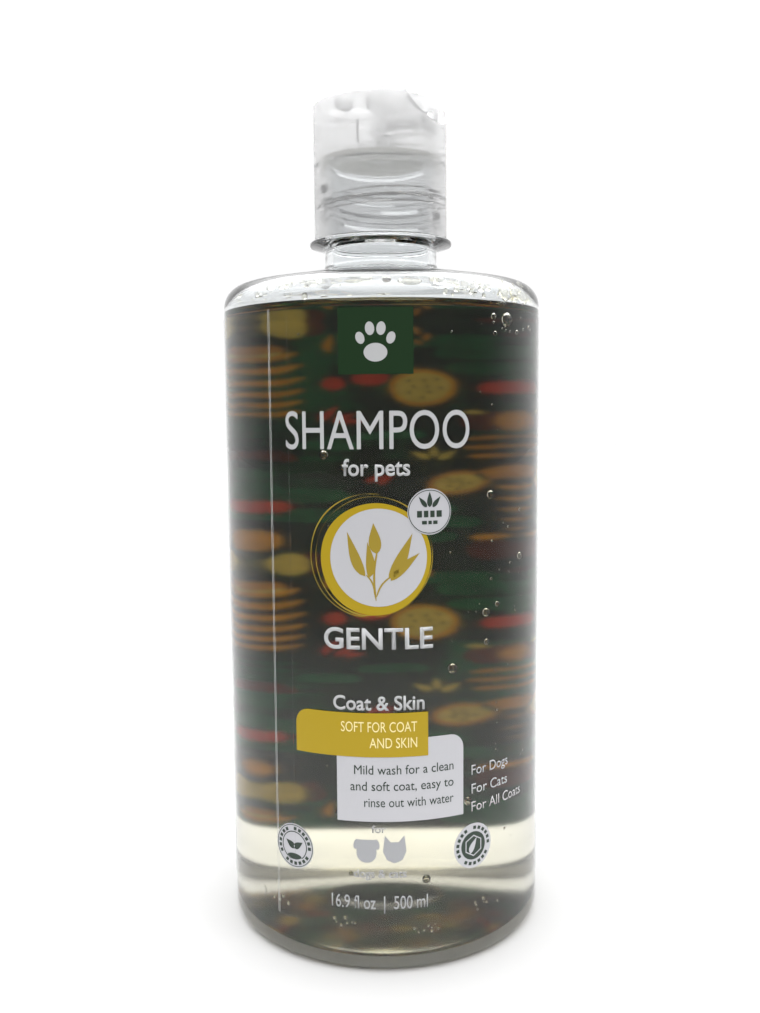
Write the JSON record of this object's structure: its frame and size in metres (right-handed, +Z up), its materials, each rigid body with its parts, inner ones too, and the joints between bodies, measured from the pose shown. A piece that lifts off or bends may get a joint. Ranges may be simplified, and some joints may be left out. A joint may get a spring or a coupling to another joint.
{
  "type": "shampoo bottle",
  "caption": "Clear round plastic bottle filled with shampoo, with a wrap-round printed film label and a threaded disc-top closure.",
  "frame": {"origin": "centre of the bottle's standing ring, on the surface it stands on", "axes": "+Z up along the bottle's axis, -Y towards the label's front, +X to the right of the front"},
  "size_m": [0.0712, 0.0712, 0.1831],
  "materials": {
    "clear_pet": "gloss",
    "shampoo_gel": "gloss",
    "printed_film": "gloss",
    "foam_liner": "matte",
    "natural_polypropylene": "satin"
  },
  "bodies": {
    "bottle": {"bottle": "clear_pet", "shampoo": "shampoo_gel", "wrap_label": "printed_film"},
    "liner": {"cap_liner": "foam_liner"},
    "closure": {"closure_shell": "natural_polypropylene"},
    "disc": {"press_disc": "natural_polypropylene"}
  },
  "joints": [
    {"name": "cap_lift", "type": "slide", "parent": "bottle", "child": "liner", "axis": [0, 0, 1], "range_m": [0, 0.01693]},
    {"name": "cap_turn", "type": "hinge", "parent": "liner", "child": "closure", "pos_m": [0, 0, 0.17], "axis": [0, 0, 1], "range_deg": [0, 1440]},
    {"name": "disc_tilt", "type": "hinge", "parent": "closure", "child": "disc", "pos_m": [-0.0013, 0.00075, 0.1807], "axis": [-0.5, -0.866, 0], "range_deg": [0, 15]}
  ],
  "couplings": [
    {"joint": "cap_lift", "follows": "cap_turn", "m_per_rad": 0.00067322}
  ]
}
